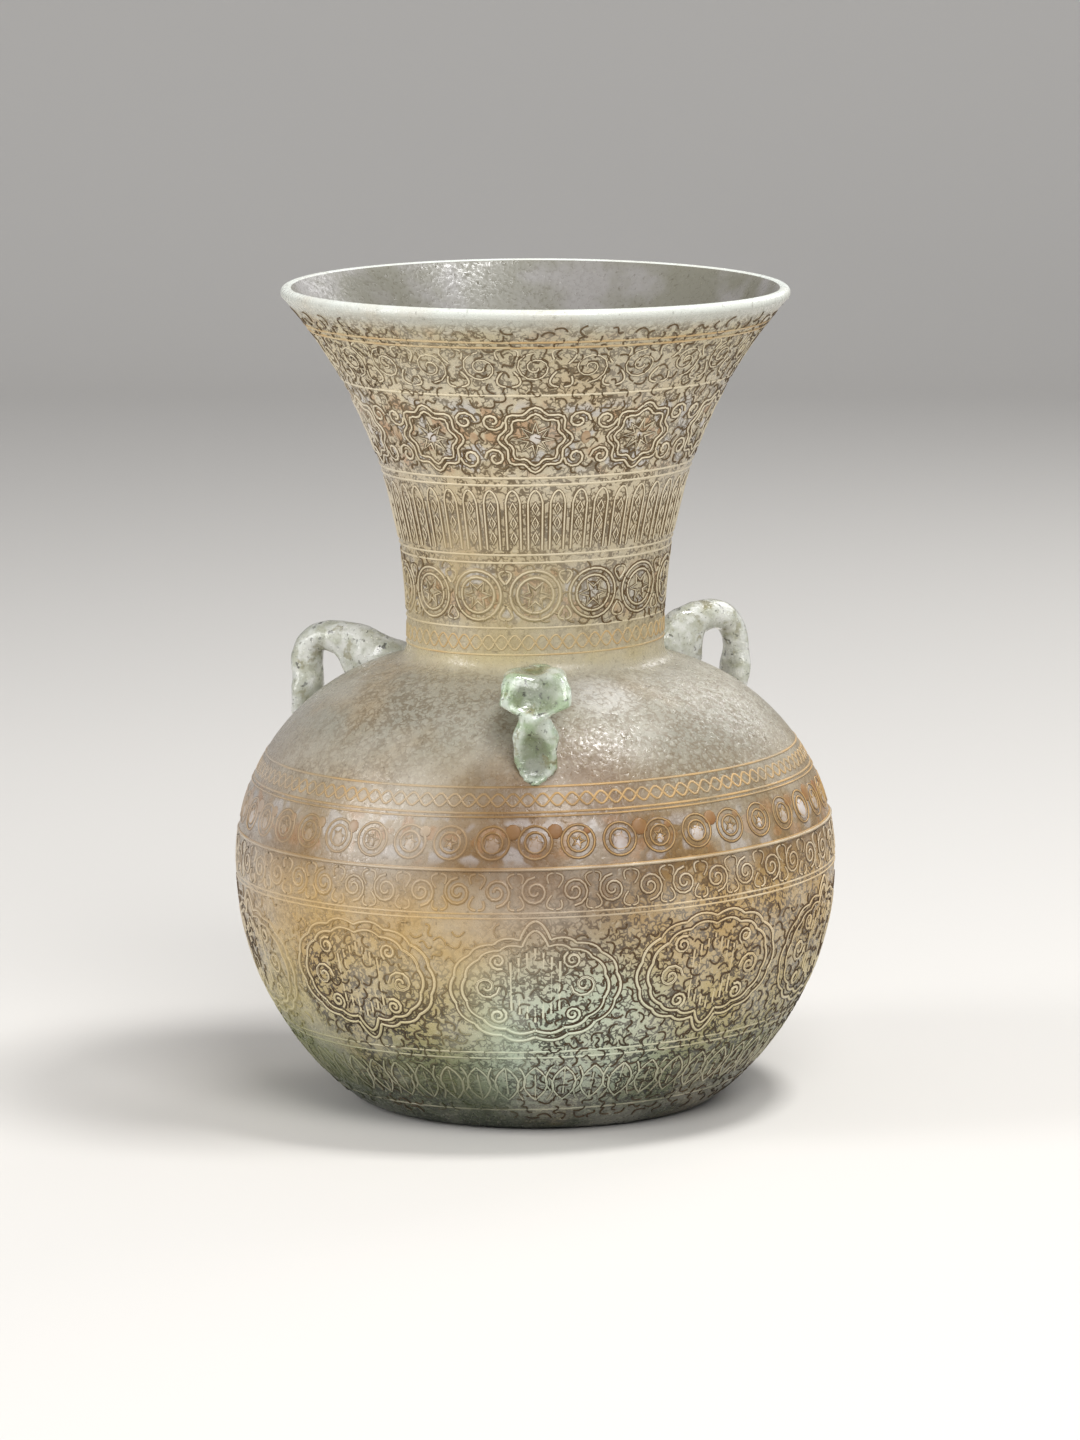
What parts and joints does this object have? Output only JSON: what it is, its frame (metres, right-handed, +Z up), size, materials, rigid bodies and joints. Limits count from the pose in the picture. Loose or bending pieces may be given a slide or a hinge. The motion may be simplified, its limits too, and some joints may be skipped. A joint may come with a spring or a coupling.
{
  "type": "mosque lamp",
  "caption": "Hanging glass lamp with a round bulb, a trumpet neck and applied shoulder loops for chains, holding a lift-out oil cup with a floating-style wick holder.",
  "frame": {"origin": "centre of the base, on the surface that the lamp stands on", "axes": "+Z up along the lamp's axis, -Y towards the front loop, +X to the right seen from the front"},
  "size_m": [0.1988, 0.1988, 0.27],
  "materials": {
    "vessel_glass": "weathered frosted glass with worn gilding and fine brown line-work",
    "loop_glass": "pale green glass, slightly weathered",
    "cup_glass": "clear pale green glass",
    "holder_brass": "aged satin",
    "wick_cotton": "twisted cotton"
  },
  "bodies": {
    "lamp": {"vessel": "vessel_glass", "handle_front": "loop_glass", "handle_left": "loop_glass", "handle_right": "loop_glass"},
    "cup": {"oil_cup": "cup_glass"},
    "holder": {"wick_spider": "holder_brass", "wick_tube": "holder_brass"},
    "wick": {"wick": "wick_cotton"}
  },
  "joints": [
    {"name": "cup_lift", "type": "slide", "parent": "lamp", "child": "cup", "axis": [0, 0, 1], "range_m": [0, 0.28]},
    {"name": "holder_lift", "type": "slide", "parent": "cup", "child": "holder", "axis": [0, 0, 1], "range_m": [0, 0.085]},
    {"name": "wick_feed", "type": "slide", "parent": "holder", "child": "wick", "axis": [0, 0, 1], "range_m": [-0.004, 0.02]}
  ]
}
